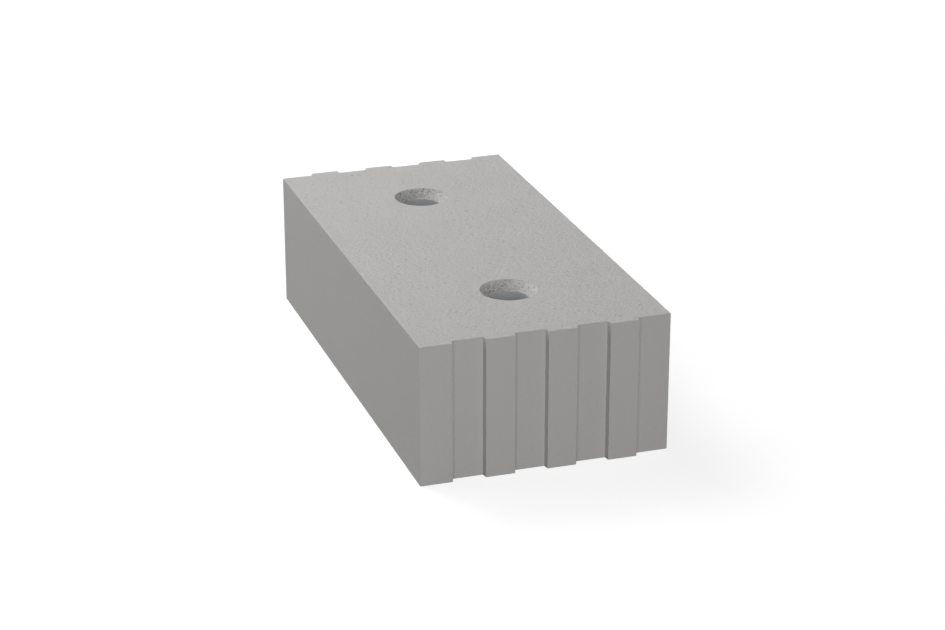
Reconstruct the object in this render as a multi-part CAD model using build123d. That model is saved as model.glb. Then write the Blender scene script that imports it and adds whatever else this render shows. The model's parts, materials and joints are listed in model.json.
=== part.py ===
"""A calcium silicate block for thin-joint masonry, pressed and steam-hardened as one piece.

Millimetres. +X is the wall's thickness, +Y its length and +Z is up, as the block is laid.
The origin is in the middle of the bottom bed face.
"""

import os
from math import radians, tan

from build123d import *

# The block over everything, tongues included
block_length = 437.0
block_width = 214.0
block_height = 120.0

# Tongues and grooves down the two ends: one pitch is a tongue and the groove beside it
tongue_depth = 5.4
tongue_pitch = 52.5
tongue_count = 4
flank_draft = 10.0  # degrees that a tongue's flank leans in towards its tip
flank_clearance = 0.6  # gap at each flank between a tongue and the groove it enters
tongue_arris = 0.7  # rounding along a tongue's edges
groove_root = 0.7  # rounding in a groove's inner corners

# Edges of the block, kept crisp so that thin joints close
corner_arris = 0.8
bed_chamfer = 0.5

# Blind grip holes in the top bed: a raked mouth, then the smooth wall left by the press's pin
grip_hole_spacing = 245.0
grip_hole_depth = 70.0
mouth_radius = 24.6
mouth_depth = 8.0
bore_radius = 17.0
pin_nose_radius = 5.0


def end_outline():
    """Corners of the end towards -Y, from -X to +X seen from above, each with its rounding.

    The end starts on a tongue at the block's -X side and stops on a groove at its +X side, and the
    flanks between them stand half a pitch apart, counted out from the middle of the block.
    """
    tip = -block_length / 2
    root = tip + tongue_depth
    lean = tongue_depth * tan(radians(flank_draft)) / 2
    corners = [(Vector(-block_width / 2, tip), corner_arris)]
    for flank in range(1 - tongue_count, tongue_count):
        ends_tongue = (flank + tongue_count) % 2 == 1
        into_tongue = -1 if ends_tongue else 1
        middle = flank * tongue_pitch / 2 + into_tongue * flank_clearance / 2
        tip_corner = (Vector(middle + into_tongue * lean, tip), tongue_arris)
        root_corner = (Vector(middle - into_tongue * lean, root), groove_root)
        corners += [tip_corner, root_corner] if ends_tongue else [root_corner, tip_corner]
    corners.append((Vector(block_width / 2, root), corner_arris))
    return corners


def plan_section():
    """The block's section on plan, which is the same at every height.

    The far end is the near one given half a turn, so that each end's tongues enter the grooves of
    the next block in the course.
    """
    near = end_outline()
    far = [(Vector(-point.X, -point.Y), rounding) for point, rounding in near]
    points = [point for point, _ in near + far]
    roundings = [rounding for _, rounding in near + far]
    with BuildSketch() as plan:
        with BuildLine():
            FilletPolyline(*points, radius=roundings, close=True)
        make_face()
    return plan.sketch


def grip_hole():
    """The space of one grip hole, its axis on Z and its mouth at the top bed."""
    floor = block_height - grip_hole_depth
    shoulder = block_height - mouth_depth
    with BuildPart() as hole:
        with BuildSketch(Plane.XZ):
            with BuildLine():
                Polyline(
                    (0, floor),
                    (bore_radius, floor),
                    (bore_radius, shoulder),
                    (mouth_radius, block_height),
                    (0, block_height),
                    close=True,
                )
            make_face()
        revolve(axis=Axis.Z)
        fillet(hole.edges().group_by(Axis.Z)[0], radius=pin_nose_radius)
    return hole.part


def block():
    """The plan section at full height, its bed edges eased, less the two grip holes."""
    with BuildPart() as body:
        add(plan_section())
        extrude(amount=block_height)
        beds = body.faces().filter_by(Axis.Z)
        chamfer(beds.edges(), length=bed_chamfer)
        with Locations((0, -grip_hole_spacing / 2), (0, grip_hole_spacing / 2)):
            add(grip_hole(), mode=Mode.SUBTRACT)
    return body.part


os.makedirs("parts", exist_ok=True)
export_step(block(), "parts/calcium_silicate_block.step")
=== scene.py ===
import json
import math

import bpy
import numpy as np
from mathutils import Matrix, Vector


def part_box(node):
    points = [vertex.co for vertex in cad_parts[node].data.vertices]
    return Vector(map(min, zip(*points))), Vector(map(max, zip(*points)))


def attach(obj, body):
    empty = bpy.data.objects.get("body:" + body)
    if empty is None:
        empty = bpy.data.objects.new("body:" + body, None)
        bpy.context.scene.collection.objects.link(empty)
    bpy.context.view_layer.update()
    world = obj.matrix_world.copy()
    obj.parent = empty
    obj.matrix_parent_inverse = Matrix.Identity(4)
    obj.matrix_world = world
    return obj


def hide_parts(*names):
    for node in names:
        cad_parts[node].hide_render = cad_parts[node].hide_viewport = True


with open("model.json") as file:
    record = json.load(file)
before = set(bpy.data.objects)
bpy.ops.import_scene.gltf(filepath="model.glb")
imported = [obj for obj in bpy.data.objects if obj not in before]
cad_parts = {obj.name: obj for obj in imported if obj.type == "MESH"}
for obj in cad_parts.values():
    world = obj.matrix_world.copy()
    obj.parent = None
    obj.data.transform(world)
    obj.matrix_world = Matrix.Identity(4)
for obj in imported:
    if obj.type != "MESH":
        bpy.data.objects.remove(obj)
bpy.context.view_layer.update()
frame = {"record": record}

# The view: a long lens that looks down over the near end, with the block's left side in sight.
# Its place is in metres and its angles are in degrees.
CAMERA_PLACE = (-0.62803, -1.93291, 0.86585)
LOOKS_DOWN = 21.8535
TURNED_RIGHT = 18.2351
camera_data = bpy.data.cameras.new("camera")
camera_data.lens = 94.944
camera_data.sensor_width = 36
camera_data.clip_end = 60
camera = bpy.data.objects.new("camera", camera_data)
camera.location = CAMERA_PLACE
camera.rotation_euler = (math.radians(90 - LOOKS_DOWN), 0, math.radians(-TURNED_RIGHT))
bpy.context.scene.collection.objects.link(camera)
bpy.context.scene.camera = camera
bpy.context.scene.view_settings.view_transform = "Standard"

# The block: sand and lime pressed to shape in a steel mould and hardened with steam, all one piece.
# The mould's walls leave the sides and the tongued ends smooth, the ram leaves the top bed sandy,
# and the pins that make the grip holes tear the sand out round their mouths as they are drawn.
MM = 0.001
NODE = "calcium_silicate_block"
low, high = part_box(NODE)
HALF_WIDTH = (high.x - low.x) / 2
HALF_LENGTH = (high.y - low.y) / 2
HEIGHT = high.z - low.z
TONGUES = 4
TONGUE_DEPTH = 5.4 * MM
HALF_PITCH = 26.25 * MM
FLANK_ANGLE = math.radians(10)
FLANK_LEAN = TONGUE_DEPTH * math.tan(FLANK_ANGLE) / 2
FLANK_PLAY = 0.3 * MM
FLANK_ROUNDING = 0.35 * MM
CORNER_ROUNDING = 0.5 * MM

# The block's faces by how they were formed, which is the order of its materials
BED, MOULD, MOUTH, BORE, UNDERSIDE = range(5)

# How finely the outline is meshed: steps along a tongue's tip or a groove's root, along a flank and
# along a side, then across an end without its flanks, and round half and the whole of the outline
STRIP_STEPS = 18
FLANK_STEPS = 5
SIDE_STEPS = 300
ACROSS = 2 * TONGUES * STRIP_STEPS
HALF_LOOP = ACROSS + 2 * TONGUES * FLANK_STEPS + SIDE_STEPS
LOOP = 2 * HALF_LOOP


def turned(vectors, angle):
    """Vectors on plan turned by an angle: x cos - y sin, x sin + y cos."""
    x, y = vectors[..., 0], vectors[..., 1]
    return np.stack([x * np.cos(angle) - y * np.sin(angle), x * np.sin(angle) + y * np.cos(angle)], -1)


def plan_outline():
    """Points and outward normals round the block on plan, anticlockwise from its -X, -Y corner.

    Each flank steps between the tips of the tongues and the roots of the grooves, leaning into its
    tongue, and the far end is the near one given half a turn. A corner of radius r that turns by a
    starts r tan(a/2) before its point; its arc is three points, and the runs between arcs are even.
    """
    tip = -HALF_LENGTH
    root = tip + TONGUE_DEPTH
    flank = np.arange(1 - TONGUES, TONGUES)
    leaves_tongue = (flank + TONGUES) % 2 == 1
    middle = flank * HALF_PITCH + np.where(leaves_tongue, -FLANK_PLAY, FLANK_PLAY)
    first = np.stack([middle - FLANK_LEAN, np.where(leaves_tongue, tip, root)], -1)
    second = np.stack([middle + FLANK_LEAN, np.where(leaves_tongue, root, tip)], -1)
    flanks = np.stack([first, second], 1).reshape(-1, 2)
    near = np.concatenate([[[-HALF_WIDTH, tip]], flanks, [[HALF_WIDTH, root]]])
    corners = np.concatenate([near, -near])
    radii = np.full(len(near), FLANK_ROUNDING)
    radii[[0, -1]] = CORNER_ROUNDING
    radii = np.tile(radii, 2)[:, None]

    into = corners - np.roll(corners, 1, 0)
    into /= np.linalg.norm(into, axis=1, keepdims=True)
    out_of = np.roll(into, -1, 0)
    sine = into[:, :1] * out_of[:, 1:] - into[:, 1:] * out_of[:, :1]
    turn = np.arctan2(sine, (into * out_of).sum(1, keepdims=True))
    right = turned(into, -math.pi / 2)
    centre = corners - into * radii * np.tan(abs(turn) / 2) - np.sign(turn) * radii * right
    normals = turned(right[:, None], turn * [0, 0.5, 1])
    arcs = centre[:, None] + (np.sign(turn) * radii)[:, None] * normals

    runs = np.tile([STRIP_STEPS, FLANK_STEPS], 2 * TONGUES)[:-1]
    corner_steps = np.concatenate([[0], np.cumsum(runs)])
    corner_steps = np.concatenate([corner_steps, corner_steps + HALF_LOOP])
    knots = (corner_steps[:, None] + [-1, 0, 1]).ravel()
    steps = np.arange(LOOP)
    columns = [
        np.interp(steps, knots, values.reshape(-1), period=LOOP)
        for values in (arcs[..., 0], arcs[..., 1], normals[..., 0], normals[..., 1])
    ]
    normal = np.stack(columns[2:], -1)
    return np.stack(columns[:2], -1), normal / np.linalg.norm(normal, axis=1, keepdims=True)


def lifted(plan, z):
    """Points on plan given a height each."""
    return np.concatenate([plan, np.broadcast_to(z, plan.shape[:-1])[..., None]], -1)


def lattice_noise(points, cell, seed):
    """Smooth noise from -1 to 1: a random value at each corner of a lattice of cubes, eased between
    the eight corners round a point with 6t^5 - 15t^4 + 10t^3. A corner's value comes from its whole
    numbers and the seed, scrambled by large odd factors."""
    scaled = points / cell + 1000.0
    corner = np.floor(scaled).astype(np.int64)
    share = scaled - corner
    share = share**3 * (share * (share * 6 - 15) + 10)
    total = np.zeros(points.shape[:-1])
    for step in np.ndindex(2, 2, 2):
        place = corner + step
        key = place[..., 0] * 73856093 ^ place[..., 1] * 19349663 ^ place[..., 2] * 83492791
        key = (key + seed * 2654435) & 0x7FFFFFFF
        key = (key ^ key >> 13) * 1274126177 & 0x7FFFFFFF
        value = ((key ^ key >> 15) & 0xFFFF) / 32767.5 - 1
        weight = np.where(step, share, 1 - share).prod(-1)
        total += value * weight
    return total


# The bed's edge: a fine arris that is worn unevenly, with a chip here and there
ARRIS = 0.32 * MM
ARRIS_WEAR = 0.25 * MM
CHIP_DEPTH = 2.2 * MM
CHIP_RARITY = 0.62
CORNER_NICK = 1.1 * MM
NICK_REACH = 1.3 * MM
CUT_BACK_BY_FLANK = 0.9 * FLANK_ROUNDING
CUT_BACK_GROWTH = 0.4


def worn_edge(edge):
    """How far the bed's edge drops, and how far it is cut back, at each point of the outline.

    The drop is an even arris, plus soft wear 5 and 2 mm long, plus the share of 7 mm waves that
    stands over the rarity of chips. Where a tongue's tip meets the flank after it there is a nick
    instead, if deeper: nick exp(-(distance / reach)^2). The edge is cut back as far as it drops
    without the nick, but by a flank only within its rounding, and from there by 0.4 of the distance.
    """
    points = lifted(edge, HEIGHT)
    wear = 0.6 * lattice_noise(points, 5 * MM, 11) + 0.6 * lattice_noise(points, 2 * MM, 12)
    chips = CHIP_DEPTH * np.clip(lattice_noise(points, 7 * MM, 13) - CHIP_RARITY, 0, 1)
    drop = ARRIS + ARRIS_WEAR * np.clip(wear, -0.8, 1) + chips

    flanks = np.arange(1 - TONGUES, TONGUES) * HALF_PITCH
    corners = flanks[::2] - FLANK_PLAY - FLANK_LEAN
    corners = np.stack([corners, np.full(TONGUES, -HALF_LENGTH)], -1)
    corners = np.concatenate([corners, -corners])
    from_corner = np.linalg.norm(edge[:, None] - corners, axis=-1).min(1)
    nicks = CORNER_NICK * np.exp(-((from_corner / NICK_REACH) ** 2))

    from_flank = abs(edge[:, :1] - flanks).min(1) - FLANK_PLAY - FLANK_LEAN
    room = CUT_BACK_BY_FLANK + CUT_BACK_GROWTH * np.maximum(from_flank, 0)
    return np.maximum(drop, nicks)[:, None], np.minimum(drop, room)[:, None]


# The top bed is a grid over the body, with a small grid for each tongue joined to its end rows. The
# square of bed round each grip hole is left open, for rings that close in on the hole.
BED_RELIEF = 0.06 * MM
HOLE_REACH = 22
bores = [mount for mount in frame["record"]["mounts"] if mount["kind"] == "bore"]
HOLE_MIDDLES = sorted(mount["pos_m"][1] for mount in bores)


def bed_relief(points):
    """Height of the sandy bed over its plane: three sizes of soft lumps, 11 to 3.5 mm across."""
    lumps = 0.5 * lattice_noise(points, 11 * MM, 1)
    lumps += 0.7 * lattice_noise(points * [1.0, 1.25, 1.0], 6 * MM, 2)
    lumps += 0.6 * lattice_noise(points, 3.5 * MM, 3)
    return BED_RELIEF * lumps


def filled_patch(points, rows):
    """Fills a grid of vertices from its border (a Coons patch): the mean of the near and far borders
    plus that of the left and right ones, each weighted by closeness, less the four corners' share."""
    border = points[rows]
    v = np.linspace(0, 1, rows.shape[0])[:, None, None]
    u = np.linspace(0, 1, rows.shape[1])[None, :, None]
    along = (1 - v) * border[:1] + v * border[-1:]
    across = (1 - u) * border[:, :1] + u * border[:, -1:]
    ends = (1 - v) * across[:1] + v * across[-1:]
    points[rows] = along + across - ends


def grid_quads(rows):
    """Faces of a grid of vertices, facing up where its rows run along +X and follow each other in +Y."""
    return np.stack([rows[:-1, :-1], rows[:-1, 1:], rows[1:, 1:], rows[1:, :-1]], -1).reshape(-1, 4)


vertices = []
faces = []
face_finishes = []


def add_vertices(points):
    """Adds an array of points to the block and gives an array of their numbers."""
    start = sum(len(part) for part in vertices)
    vertices.append(points.reshape(-1, 3))
    return start + np.arange(points.size // 3).reshape(points.shape[:-1])


def add_faces(rows, finish):
    """Adds an array of faces, each a row of vertex numbers, that share one finish."""
    faces.extend(rows.tolist())
    face_finishes.extend([finish] * len(rows))


edge, edge_normal = plan_outline()
arris_drop, arris_inset = worn_edge(edge)

body_rows = np.arange((SIDE_STEPS + 1) * (ACROSS + 1)).reshape(SIDE_STEPS + 1, ACROSS + 1)
plan = np.zeros((body_rows.size + 2 * TONGUES * FLANK_STEPS * (STRIP_STEPS + 1), 2))
rim = []
tongue_grids = []
next_free = body_rows.size
for end_rows in (body_rows, body_rows[::-1, ::-1]):
    end_grids = []
    for tongue in range(TONGUES):
        start = 2 * tongue * STRIP_STEPS
        size = FLANK_STEPS * (STRIP_STEPS + 1)
        own_rows = (next_free + np.arange(size)).reshape(FLANK_STEPS, STRIP_STEPS + 1)
        end_grids.append(np.concatenate([own_rows, end_rows[:1, start : start + STRIP_STEPS + 1]]))
        next_free += size
    for tongue, rows in enumerate(end_grids):
        groove = (2 * tongue + 1) * STRIP_STEPS
        rim += [rows[:0:-1, 0], rows[0, :-1], rows[:-1, -1], end_rows[0, groove : groove + STRIP_STEPS]]
    rim.append(end_rows[:-1, -1])
    tongue_grids += end_grids
rim = np.roll(np.concatenate(rim), -FLANK_STEPS)

plan[rim] = edge - edge_normal * arris_inset
for rows in tongue_grids:
    share = np.linspace(0, 1, STRIP_STEPS + 1)[:, None]
    plan[rows[-1]] = plan[rows[-1, 0]] * (1 - share) + plan[rows[-1, -1]] * share
for rows in [body_rows] + tongue_grids:
    filled_patch(plan, rows)
bed = lifted(plan, HEIGHT)
bed[:, 2] += bed_relief(bed)
add_vertices(bed)

kept = np.ones((SIDE_STEPS, ACROSS), bool)
middle_column = ACROSS // 2
row_pitch = np.ptp(plan[body_rows[:, middle_column], 1]) / SIDE_STEPS
hole_rows = [round(SIDE_STEPS / 2 + middle / row_pitch) for middle in HOLE_MIDDLES]
columns = slice(middle_column - HOLE_REACH, middle_column + HOLE_REACH)
for row in hole_rows:
    kept[row - HOLE_REACH : row + HOLE_REACH, columns] = False
add_faces(grid_quads(body_rows)[kept.ravel()], BED)
for rows in tongue_grids:
    add_faces(grid_quads(rows), BED)

# The sides and ends: the outline carried down from the bed's worn edge to the crisp edge below,
# where the arris is half as uneven. An arris is an arc of two steps.
WALL_STEPS = 18
MID_ARC = 1 - math.sqrt(0.5)


def ring_quads(upper, lower):
    """Faces between two closed rings of vertices, facing up or in where the first is the outer one."""
    return np.stack([upper, np.roll(upper, -1), np.roll(lower, -1), lower], -1)


foot_wear = lattice_noise(lifted(edge, 0), 4 * MM, 14)
foot_arris = (ARRIS + 0.5 * ARRIS_WEAR * foot_wear)[:, None]
top = bed[rim, 2:]
levels = np.linspace(0, 1, WALL_STEPS + 1)[:, None, None]
wall = np.broadcast_to(edge, (WALL_STEPS + 1, LOOP, 2))
wall = lifted(wall, ((top - arris_drop) * (1 - levels) + foot_arris * levels)[..., 0])
rings = np.concatenate([
    lifted(edge - edge_normal * arris_inset * MID_ARC, (top - arris_drop * MID_ARC)[:, 0])[None],
    wall,
    lifted(edge - edge_normal * foot_arris * MID_ARC, (foot_arris * MID_ARC)[:, 0])[None],
    lifted(edge - edge_normal * foot_arris, 0)[None],
])
wall_rings = np.concatenate([rim[None], add_vertices(rings)])
for upper, lower in zip(wall_rings[:-1], wall_rings[1:]):
    add_faces(ring_quads(lower, upper), MOULD)
add_faces(wall_rings[-1][None, ::-1], UNDERSIDE)

# The grip holes: rings of bed close in on a ragged mouth, which is torn down to the smooth wall,
# rounded nose and floor that the pin left. The mouth has two spokes to each one of the bed and wall.
BORE_RADIUS = bores[0]["dims"]["r_mm"] * MM
HOLE_DEPTH = 70 * MM
NOSE_RADIUS = 5 * MM
FLOOR_SHARES = np.array([0.66, 0.33])
MOUTH_RADIUS = 24.6 * MM
MOUTH_DEPTH = 8 * MM
MOUTH_LIP = 0.3 * MM
MOUTH_RAG = 0.2 * MM
MOUTH_TEAR = 1.5 * MM
SHOULDER_RAG = 0.22 * MM
WALL_START = 1.5 * MM
BED_RINGS = 6
MOUTH_STEPS = 30
BORE_STEPS = 9
NOSE_STEPS = 5
SPOKES = 8 * HOLE_REACH
spokes = np.radians(-135 + 360 * np.arange(SPOKES) / SPOKES)
fine_spokes = np.radians(-135 + 180 * np.arange(2 * SPOKES) / SPOKES)
slope = np.array([MOUTH_RADIUS - BORE_RADIUS, MOUTH_DEPTH])
slope_normal = np.array([-slope[1], slope[0]]) / np.linalg.norm(slope)


def around(angles, radius):
    """Points on plan round a hole: radius times the cosine and sine of each angle."""
    return np.stack([np.cos(angles), np.sin(angles)], -1) * radius


def ragged_rim(centre):
    """How far the mouth's rim strays out and in round a hole: waves 3.5 and 1.6 mm long."""
    points = lifted(centre + around(fine_spokes, MOUTH_RADIUS), 0)
    return MOUTH_RAG * (lattice_noise(points, 3.5 * MM, 26) + 0.8 * lattice_noise(points, 1.6 * MM, 27))


def torn_slope(centre):
    """The mouth's slope from the bed down to the bore, pushed in and out along its own normal where
    sand was torn away: lumps 2.2 and 1.3 mm across, deeper pits, and grains that still stand out.

    The tearing is whole on the -X side and a tenth of that on the +X side, 0.55 - 0.45 cos(angle).
    It grows from a tenth at the rim over the first quarter of the slope and dies away over the last
    two sevenths, and the slope's lower edge wavers by itself.
    """
    v = np.linspace(0, 1, MOUTH_STEPS + 1)[1:, None]
    radius = np.broadcast_to(MOUTH_RADIUS - slope[0] * v, (MOUTH_STEPS, 2 * SPOKES))
    z = np.broadcast_to(HEIGHT - slope[1] * v, radius.shape)
    points = lifted(centre + around(fine_spokes, radius[..., None]), z)
    lumps = 0.3 * lattice_noise(points, 2.2 * MM, 21) + 0.9 * lattice_noise(points, 1.3 * MM, 22)
    grains = lattice_noise(points, 0.9 * MM, 23)
    pits = np.clip(lattice_noise(points, 1.4 * MM, 24) - 0.2, 0, 1)
    by_side = 0.55 - 0.45 * np.cos(fine_spokes)
    by_depth = np.minimum(1, 3.5 * (1 - v)) * np.minimum(1, 0.1 + 4 * v)
    push = MOUTH_TEAR * (0.4 * lumps + grains - 2.0 * pits) * by_side * by_depth
    radius = radius + push * slope_normal[0] + ragged_rim(centre) * (1 - v) ** 2
    z = z + push * slope_normal[1]
    z[-1] += SHOULDER_RAG * lattice_noise(points[-1], 1.3 * MM, 25)
    radius[-1] = BORE_RADIUS
    return lifted(centre + around(fine_spokes, radius[..., None]), z)


def pin_wall(centre):
    """The wall, nose and floor that the pin left: rings at the bore's radius, then a quarter of a
    circle in to the floor, then two rings on the floor."""
    floor_z = HEIGHT - HOLE_DEPTH
    bore_z = np.linspace(HEIGHT - MOUTH_DEPTH - WALL_START, floor_z + NOSE_RADIUS, BORE_STEPS)
    nose = np.linspace(0, math.pi / 2, NOSE_STEPS + 1)[1:]
    nose_radius = BORE_RADIUS - NOSE_RADIUS * (1 - np.cos(nose))
    nose_z = floor_z + NOSE_RADIUS * (1 - np.sin(nose))
    floor_radius = nose_radius[-1] * FLOOR_SHARES
    radius = np.concatenate([np.full(BORE_STEPS, BORE_RADIUS), nose_radius, floor_radius])
    z = np.concatenate([bore_z, nose_z, np.full(len(FLOOR_SHARES), floor_z)])
    return lifted(centre + around(spokes, radius[:, None, None]), z[:, None])


for middle, row in zip(HOLE_MIDDLES, hole_rows):
    centre = np.array([0.0, middle])
    first_row, last_row = row - HOLE_REACH, row + HOLE_REACH
    first, last = columns.start, columns.stop
    square = np.concatenate([
        body_rows[first_row, first:last],
        body_rows[first_row:last_row, last],
        body_rows[last_row, last:first:-1],
        body_rows[last_row:first_row:-1, first],
    ])
    rim_radius = MOUTH_RADIUS - MOUTH_LIP + ragged_rim(centre)
    rim_plan = centre + around(fine_spokes, rim_radius[:, None])
    share = np.linspace(0, 1, BED_RINGS + 1)[1:-1, None, None]
    bed_rings = lifted(plan[square] * (1 - share) + rim_plan[::2] * share, HEIGHT)
    bed_rings[..., 2] += bed_relief(bed_rings)
    rim_points = lifted(rim_plan, HEIGHT)
    rim_points[:, 2] += bed_relief(rim_points)
    coarse = np.concatenate([square[None], add_vertices(bed_rings)])
    for outer, inner in zip(coarse[:-1], coarse[1:]):
        add_faces(ring_quads(outer, inner), BED)
    fine = np.concatenate([add_vertices(rim_points)[None], add_vertices(torn_slope(centre))])
    outer, inner = coarse[-1], fine[0]
    after = np.roll(inner, -2)
    add_faces(np.stack([outer, np.roll(outer, -1), after[::2], inner[1::2], inner[::2]], -1), BED)
    for outer, inner in zip(fine[:-1], fine[1:]):
        add_faces(ring_quads(outer, inner), MOUTH)

    bore_rings = add_vertices(pin_wall(centre))
    upper, lower = fine[-1], bore_rings[0]
    after = np.roll(upper, -2)
    add_faces(np.stack([upper[::2], upper[1::2], after[::2], np.roll(lower, -1), lower], -1), BORE)
    for outer, inner in zip(bore_rings[:-1], bore_rings[1:]):
        add_faces(ring_quads(outer, inner), BORE)
    pole = add_vertices(np.array([[0.0, middle, HEIGHT - HOLE_DEPTH]]))
    last_ring = bore_rings[-1]
    fan = np.stack([last_ring, np.roll(last_ring, -1), np.full(SPOKES, pole[0])], -1)
    add_faces(fan, BORE)

# The bed's vertices inside the open squares belong to no face and are left out
points = np.concatenate(vertices)
used = np.zeros(len(points), bool)
used[np.concatenate([np.array(face) for face in faces])] = True
number = np.cumsum(used) - 1
shape = bpy.data.meshes.new("sand_lime_block")
shape.from_pydata(points[used], [], [number[face].tolist() for face in faces])
shape.shade_smooth()
shape.set_sharp_from_angle(angle=math.radians(15))
block = bpy.data.objects.new("sand_lime_block", shape)
bpy.context.scene.collection.objects.link(block)


def add_node(tree, kind, inputs=None, **settings):
    """Adds a shader node with its settings, and gives each named input a value or a link."""
    node = tree.nodes.new("ShaderNode" + kind)
    for name, value in settings.items():
        setattr(node, name, value)
    for name, value in (inputs or {}).items():
        if isinstance(value, bpy.types.NodeSocket):
            tree.links.new(value, node.inputs[name])
        else:
            node.inputs[name].default_value = value
    return node


def combined(tree, operation, first, second, third=0.0):
    """The output of a Math node on two or three values or sockets."""
    return add_node(tree, "Math", {0: first, 1: second, 2: third}, operation=operation).outputs[0]


# The bed's sand lies in short streaks, at this angle from +X on plan
STREAK_ANGLE = math.radians(29)


def sand_and_lime():
    """A shader node group for pressed sand and lime, on Object coordinates in metres.

    Its colour is the given one, mottled by clouds 45 mm across and speckled by grains of sand 1 mm
    across, and painted darker in the pits as the shade that falls in them. Its height, in millimetres,
    adds up lumps 2.3 mm across, the grains, and pits where a grain has come out, one to a cell 3.3 mm
    across in the given share of the cells. The stretch divides all these sizes but the clouds', along
    and across the streaks.
    """
    group = bpy.data.node_groups.new("pressed sand and lime", "ShaderNodeTree")
    group.interface.new_socket("Colour", in_out="INPUT", socket_type="NodeSocketColor")
    group.interface.new_socket("Stretch", in_out="INPUT", socket_type="NodeSocketVector")
    for name in ("Speckle", "Mottle", "Lumps", "Grains", "Pits", "Pitted"):
        group.interface.new_socket(name, in_out="INPUT", socket_type="NodeSocketFloat")
    group.interface.new_socket("Colour", in_out="OUTPUT", socket_type="NodeSocketColor")
    for name in ("Roughness", "Height"):
        group.interface.new_socket(name, in_out="OUTPUT", socket_type="NodeSocketFloat")
    given = group.nodes.new("NodeGroupInput").outputs
    result = group.nodes.new("NodeGroupOutput").inputs
    place = add_node(group, "TexCoord").outputs["Object"]
    along_streaks = add_node(
        group, "Mapping", {"Vector": place, "Rotation": (0, 0, -STREAK_ANGLE)}
    ).outputs["Vector"]
    drawn = add_node(
        group, "VectorMath", {0: along_streaks, 1: given["Stretch"]}, operation="MULTIPLY"
    ).outputs["Vector"]
    clouds = add_node(group, "TexNoise", {"Vector": place, "Scale": 22, "Detail": 3})
    lumps = add_node(
        group, "TexNoise",
        {"Vector": drawn, "Scale": 430, "Detail": 2.5, "Roughness": 0.6, "Distortion": 0.3},
    )
    grains = add_node(group, "TexNoise", {"Vector": drawn, "Scale": 1050, "Detail": 1.5})
    cells = add_node(group, "TexVoronoi", {"Vector": drawn, "Scale": 300})
    chosen = add_node(group, "SeparateColor", {"Color": cells.outputs["Color"]}).outputs["Red"]
    hollow = add_node(
        group, "MapRange",
        {"Value": cells.outputs["Distance"], "From Min": 0.42, "From Max": 0.1},
        interpolation_type="SMOOTHSTEP",
    ).outputs["Result"]
    unpitted = combined(group, "SUBTRACT", 1.0, given["Pitted"])
    often = add_node(group, "MapRange", {"Value": chosen, "From Min": unpitted, "From Max": 1.0})
    pits = combined(group, "MULTIPLY", hollow, often.outputs["Result"])

    grain = combined(group, "SUBTRACT", grains.outputs["Fac"], 0.5)
    cloud = combined(group, "SUBTRACT", clouds.outputs["Fac"], 0.5)
    tone = combined(group, "MULTIPLY_ADD", grain, given["Speckle"], 1.0)
    tone = combined(group, "MULTIPLY_ADD", cloud, given["Mottle"], tone)
    # The pits are real hollows in the height, and painted shade in the colour, which is darkened in them
    pit_depth_and_shade = combined(group, "MULTIPLY", pits, given["Pits"])
    tone = combined(group, "MULTIPLY_ADD", pit_depth_and_shade, -0.5, tone)
    colour = add_node(
        group, "VectorMath", {0: given["Colour"], "Scale": tone}, operation="SCALE"
    ).outputs["Vector"]
    group.links.new(colour, result["Colour"])
    group.links.new(combined(group, "MULTIPLY_ADD", grain, 0.25, 0.86), result["Roughness"])
    height = combined(group, "MULTIPLY", lumps.outputs["Fac"], given["Lumps"])
    height = combined(group, "MULTIPLY_ADD", grains.outputs["Fac"], given["Grains"], height)
    height = combined(group, "MULTIPLY_ADD", pit_depth_and_shade, -0.6, height)
    group.links.new(height, result["Height"])
    return group


pressed_sand = sand_and_lime()


def sand_lime_finish(name, colour, stretch, **strengths):
    """A finish of the block: the pressed sand with the given colour, finer along the axes where stretch
    is over 1, and the strength of each of its effects by the name of its input."""
    material = bpy.data.materials.new(name)
    material.use_nodes = True
    tree = material.node_tree
    surface = tree.nodes["Principled BSDF"]
    sand = add_node(tree, "Group", node_tree=pressed_sand)
    sand.inputs["Colour"].default_value = (*colour, 1)
    sand.inputs["Stretch"].default_value = stretch
    for effect, strength in strengths.items():
        sand.inputs[effect.capitalize()].default_value = strength
    tree.links.new(sand.outputs["Colour"], surface.inputs["Base Color"])
    tree.links.new(sand.outputs["Roughness"], surface.inputs["Roughness"])
    bump = add_node(tree, "Bump", {"Height": sand.outputs["Height"], "Strength": 1, "Distance": MM})
    tree.links.new(bump.outputs["Normal"], surface.inputs["Normal"])
    return material


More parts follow.
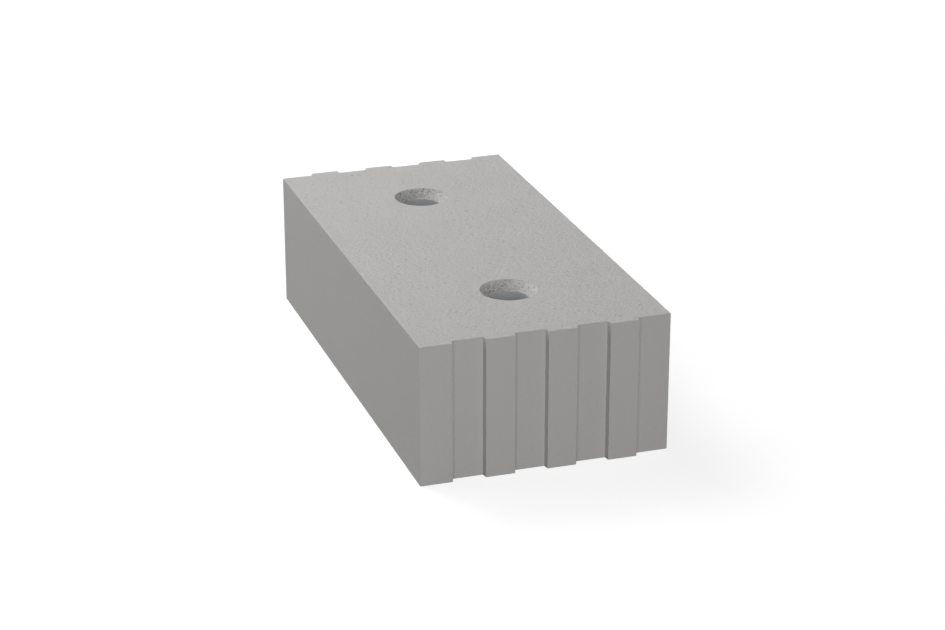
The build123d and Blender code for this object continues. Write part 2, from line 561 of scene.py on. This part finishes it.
BODY_COLOUR = (0.463, 0.455, 0.447)
block_finishes = [
    # Painted light: the sandy bed's colour is the body's colour painted about a seventh lighter, to make up
    # for the shade its lumps and pits cast; its sandy texture is real
    sand_lime_finish(
        "sandy bed", (0.531, 0.523, 0.516), (0.56, 1.7, 1),
        speckle=0.36, mottle=0.05, lumps=1.4, grains=0.5, pits=0.7, pitted=0.25,
    ),
    sand_lime_finish(
        "mould face", BODY_COLOUR, (1.1, 1.1, 0.6),
        speckle=0.12, mottle=0.04, lumps=0.2, grains=0.12, pits=0.1, pitted=0.2,
    ),
    # Painted light: the torn mouth's colour is painted about a fifth lighter than the body's, to stand in
    # for the light on its lit side and make up for the shade in its hollows and pits
    sand_lime_finish(
        "torn mouth", (0.55, 0.542, 0.535), (1.4, 1.4, 1.4),
        speckle=1.3, mottle=0.05, lumps=1.0, grains=0.8, pits=1.2, pitted=0.9,
    ),
    # Painted light: the bore's colour is tinted slightly blue for the cool light in the shade of the hole;
    # its smoothness from the pin is real
    sand_lime_finish(
        "pin-smoothed bore", (0.475, 0.483, 0.495), (1, 1, 1),
        speckle=0.05, mottle=0.04, lumps=0.03, grains=0.02, pits=0.0, pitted=0.1,
    ),
    sand_lime_finish(
        "underside", BODY_COLOUR, (1, 1, 1),
        speckle=0.1, mottle=0.05, lumps=0.25, grains=0.1, pits=0.3, pitted=0.2,
    ),
]
for finish in block_finishes:
    shape.materials.append(finish)
shape.polygons.foreach_set("material_index", np.array(face_finishes, np.int32))
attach(block, "root")
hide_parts(NODE)

# The floor: a plain pale sheet that the block stands on, a hair under its bottom bed. To the camera
# it is white, a little less so within 1.5 metres of the block, and it keeps the block's soft shadow.
FLOOR_REACH = 40.0
FLOOR_LEVEL = -0.1 * MM
LIT_GREY = (0.15, 0.15, 0.15, 1)
SEEN_GREY = (0.35, 0.35, 0.35, 1)
WHITE = (1, 1, 1, 1)
sides = np.array([[-1, -1], [1, -1], [1, 1], [-1, 1]])
floor_shape = bpy.data.meshes.new("floor")
floor_shape.from_pydata(lifted(FLOOR_REACH * sides, FLOOR_LEVEL), [], [(0, 1, 2, 3)])
floor = bpy.data.objects.new("floor", floor_shape)
bpy.context.scene.collection.objects.link(floor)


def seen_as_backdrop(tree):
    """1 where a ray comes straight from the camera, or by way of gloss or glass, and 0 elsewhere."""
    path = add_node(tree, "LightPath").outputs
    seen = combined(tree, "MAXIMUM", path["Is Camera Ray"], path["Is Glossy Ray"])
    return combined(tree, "MAXIMUM", seen, path["Is Transmission Ray"])


paper = bpy.data.materials.new("white paper")
paper.use_nodes = True
tree = paper.node_tree
tree.nodes.remove(tree.nodes["Principled BSDF"])
plain = add_node(tree, "BsdfDiffuse", {"Color": LIT_GREY})
faint = add_node(tree, "BsdfDiffuse", {"Color": SEEN_GREY})
place = add_node(tree, "TexCoord").outputs["Object"]
from_block = add_node(tree, "VectorMath", {0: place}, operation="LENGTH").outputs["Value"]
paleness = add_node(
    tree, "MapRange",
    {"Value": from_block, "From Min": 0.7, "From Max": 1.5, "To Min": 0.78, "To Max": 1.0},
).outputs["Result"]
glow = add_node(tree, "Emission", {"Color": WHITE, "Strength": paleness})
white = add_node(tree, "AddShader", {0: faint.outputs[0], 1: glow.outputs[0]})
sheet = add_node(tree, "MixShader", {0: seen_as_backdrop(tree), 1: plain.outputs[0], 2: white.outputs[0]})
tree.links.new(sheet.outputs[0], tree.nodes["Material Output"].inputs["Surface"])
floor_shape.materials.append(paper)

# The studio: walls that the camera sees as white and that give no light, so all of it comes from
# large soft lamps round the block
world = bpy.data.worlds.new("studio")
bpy.context.scene.world = world
world.use_nodes = True
tree = world.node_tree
tree.nodes.remove(tree.nodes["Background"])
walls = add_node(tree, "Background", {"Color": WHITE, "Strength": 0.0})
backdrop = add_node(tree, "Background", {"Color": WHITE, "Strength": 1.0})
around_block = add_node(
    tree, "MixShader", {0: seen_as_backdrop(tree), 1: walls.outputs[0], 2: backdrop.outputs[0]}
)
tree.links.new(around_block.outputs[0], tree.nodes["World Output"].inputs["Surface"])


def soft_lamp(name, azimuth, elevation, distance, width, height, power):
    """A softbox in metres and watts, aimed at the block from an azimuth and an elevation in degrees."""
    lamp_data = bpy.data.lights.new(name, "AREA")
    lamp_data.shape = "RECTANGLE"
    lamp_data.size = width
    lamp_data.size_y = height
    lamp_data.energy = power
    lamp = bpy.data.objects.new(name, lamp_data)
    tilt = math.radians(90 - elevation)
    turn = math.radians(azimuth)
    aside = distance * math.sin(tilt)
    lamp.location = (aside * math.sin(turn), -aside * math.cos(turn), distance * math.cos(tilt) + HEIGHT / 2)
    lamp.rotation_euler = (tilt, 0, turn)
    lamp.visible_camera = False
    bpy.context.scene.collection.objects.link(lamp)


soft_lamp("back left", azimuth=-156, elevation=43, distance=3.2, width=1.6, height=1.6, power=69.5)
soft_lamp("left", azimuth=-115, elevation=36, distance=2.4, width=1.2, height=1.2, power=15.2)
soft_lamp("front left", azimuth=-20, elevation=14, distance=2.4, width=1.4, height=1.4, power=17.8)
soft_lamp("front", azimuth=0, elevation=22, distance=4.8, width=2.8, height=2.8, power=69.0)
soft_lamp("overhead", azimuth=-135, elevation=78, distance=1.2, width=0.8, height=0.8, power=1.4)
soft_lamp("low right", azimuth=96, elevation=0.5, distance=2.4, width=1.4, height=0.1, power=13.0)
